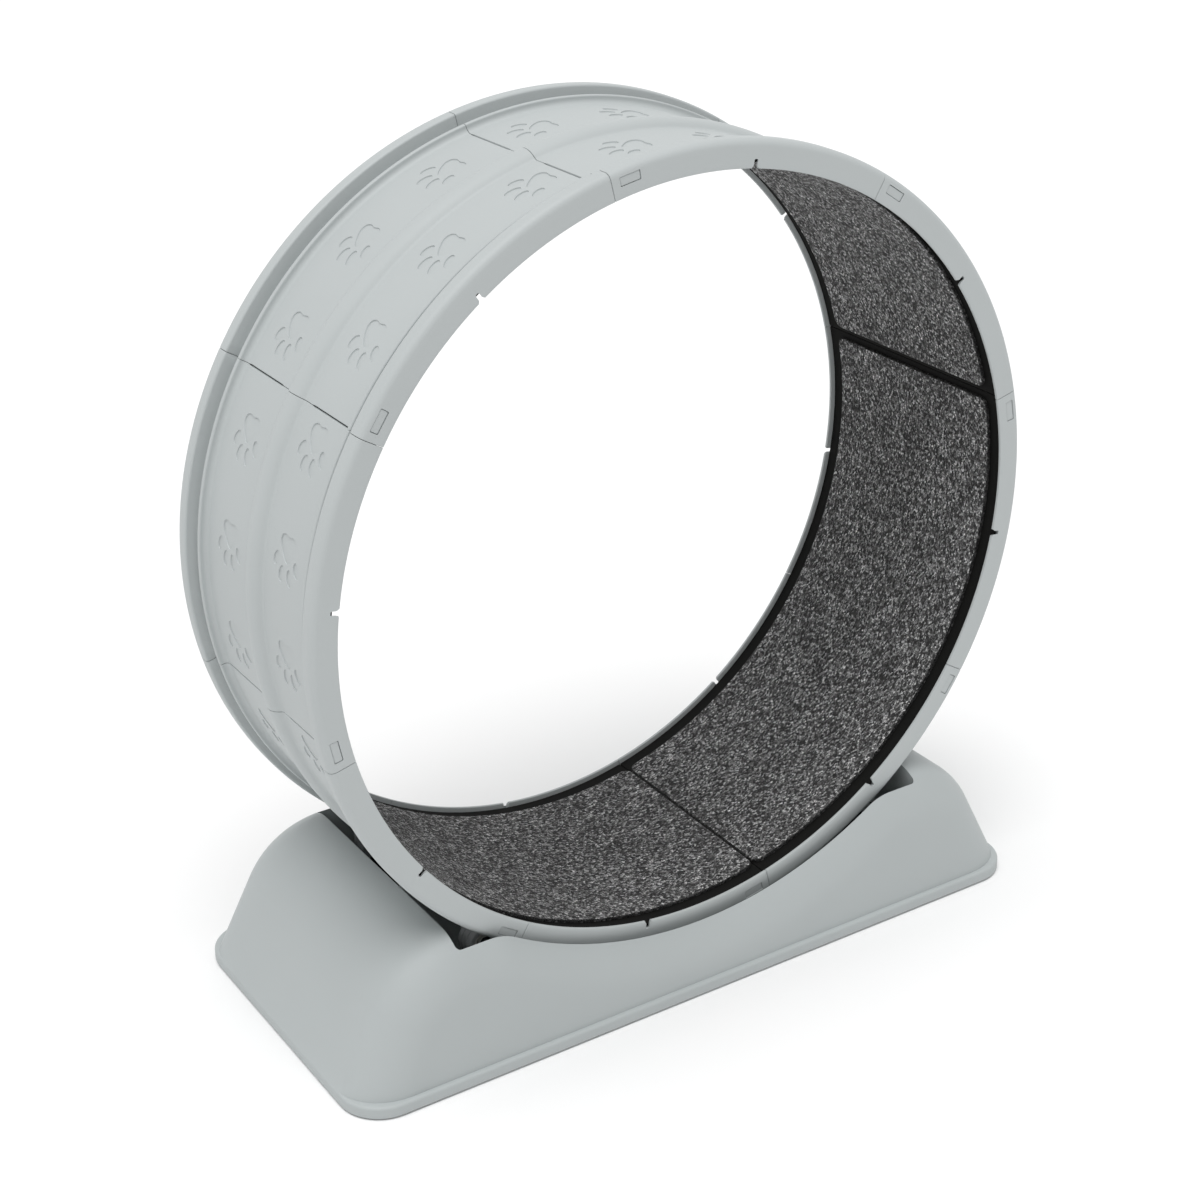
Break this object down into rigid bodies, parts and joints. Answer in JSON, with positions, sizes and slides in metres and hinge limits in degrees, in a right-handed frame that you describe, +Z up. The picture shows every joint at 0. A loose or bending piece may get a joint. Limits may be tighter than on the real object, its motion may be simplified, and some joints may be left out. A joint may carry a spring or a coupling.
{
  "type": "cat exercise wheel",
  "caption": "Cat running wheel: a snap-together ring of moulded segments, lined with carpet, that turns on rollers in a moulded base with a saddle and a long well.",
  "frame": {"origin": "on the floor under the middle of the wheel: the middle of the bounding box's bottom", "axes": "+Z up, the longest way; Y along the wheel's axis, the shortest way, with the wheel's seam windows at both faces; X along the base"},
  "size_m": [0.8, 0.358, 0.85],
  "materials": {
    "ring_plastic": "satin moulded plastic, light cool grey",
    "base_plastic": "satin moulded plastic, light cool grey",
    "backing_rubber": "matt black foam rubber sheet",
    "carpet": "dark grey heather needle-punch carpet",
    "bracket_plastic": "black moulded plastic",
    "hub_plastic": "natural nylon",
    "pin_steel": "turned steel",
    "roller_rubber": "mid grey rubber",
    "foot_rubber": "black rubber"
  },
  "bodies": {
    "base": {"base_shell": "base_plastic", "rubber_feet": "foot_rubber", "roller_bracket_front_left": "bracket_plastic", "roller_bracket_front_right": "bracket_plastic", "roller_bracket_rear_left": "bracket_plastic", "roller_bracket_rear_right": "bracket_plastic", "roller_pin_front_left": "pin_steel", "roller_pin_front_right": "pin_steel", "roller_pin_rear_left": "pin_steel", "roller_pin_rear_right": "pin_steel"},
    "wheel": {"wheel_segment_1": "ring_plastic", "wheel_segment_2": "ring_plastic", "wheel_segment_3": "ring_plastic", "wheel_segment_4": "ring_plastic", "wheel_segment_5": "ring_plastic", "wheel_segment_6": "ring_plastic", "wheel_segment_7": "ring_plastic", "wheel_segment_8": "ring_plastic", "mat_backing_1": "backing_rubber", "mat_backing_2": "backing_rubber", "mat_backing_3": "backing_rubber", "mat_backing_4": "backing_rubber", "carpet_1": "carpet", "carpet_2": "carpet", "carpet_3": "carpet", "carpet_4": "carpet"},
    "roller_front_left": {"roller_hub_front_left": "hub_plastic", "roller_tyre_front_left": "roller_rubber"},
    "roller_front_right": {"roller_hub_front_right": "hub_plastic", "roller_tyre_front_right": "roller_rubber"},
    "roller_rear_left": {"roller_hub_rear_left": "hub_plastic", "roller_tyre_rear_left": "roller_rubber"},
    "roller_rear_right": {"roller_hub_rear_right": "hub_plastic", "roller_tyre_rear_right": "roller_rubber"}
  },
  "joints": [
    {"name": "wheel_spin", "type": "hinge", "parent": "base", "child": "wheel", "pos_m": [0, 0, 0.45], "axis": [0, 1, 0], "continuous": true},
    {"name": "roller_front_left_spin", "type": "hinge", "parent": "base", "child": "roller_front_left", "pos_m": [-0.23, -0.108, 0.10902], "axis": [0, 1, 0], "continuous": true},
    {"name": "roller_front_right_spin", "type": "hinge", "parent": "base", "child": "roller_front_right", "pos_m": [0.23, -0.108, 0.10902], "axis": [0, 1, 0], "continuous": true},
    {"name": "roller_rear_left_spin", "type": "hinge", "parent": "base", "child": "roller_rear_left", "pos_m": [-0.23, 0.108, 0.10902], "axis": [0, 1, 0], "continuous": true},
    {"name": "roller_rear_right_spin", "type": "hinge", "parent": "base", "child": "roller_rear_right", "pos_m": [0.23, 0.108, 0.10902], "axis": [0, 1, 0], "continuous": true}
  ],
  "couplings": [
    {"joint": "roller_front_left_spin", "follows": "wheel_spin", "ratio": -21.833},
    {"joint": "roller_front_right_spin", "follows": "wheel_spin", "ratio": -21.833},
    {"joint": "roller_rear_left_spin", "follows": "wheel_spin", "ratio": -21.833},
    {"joint": "roller_rear_right_spin", "follows": "wheel_spin", "ratio": -21.833}
  ]
}
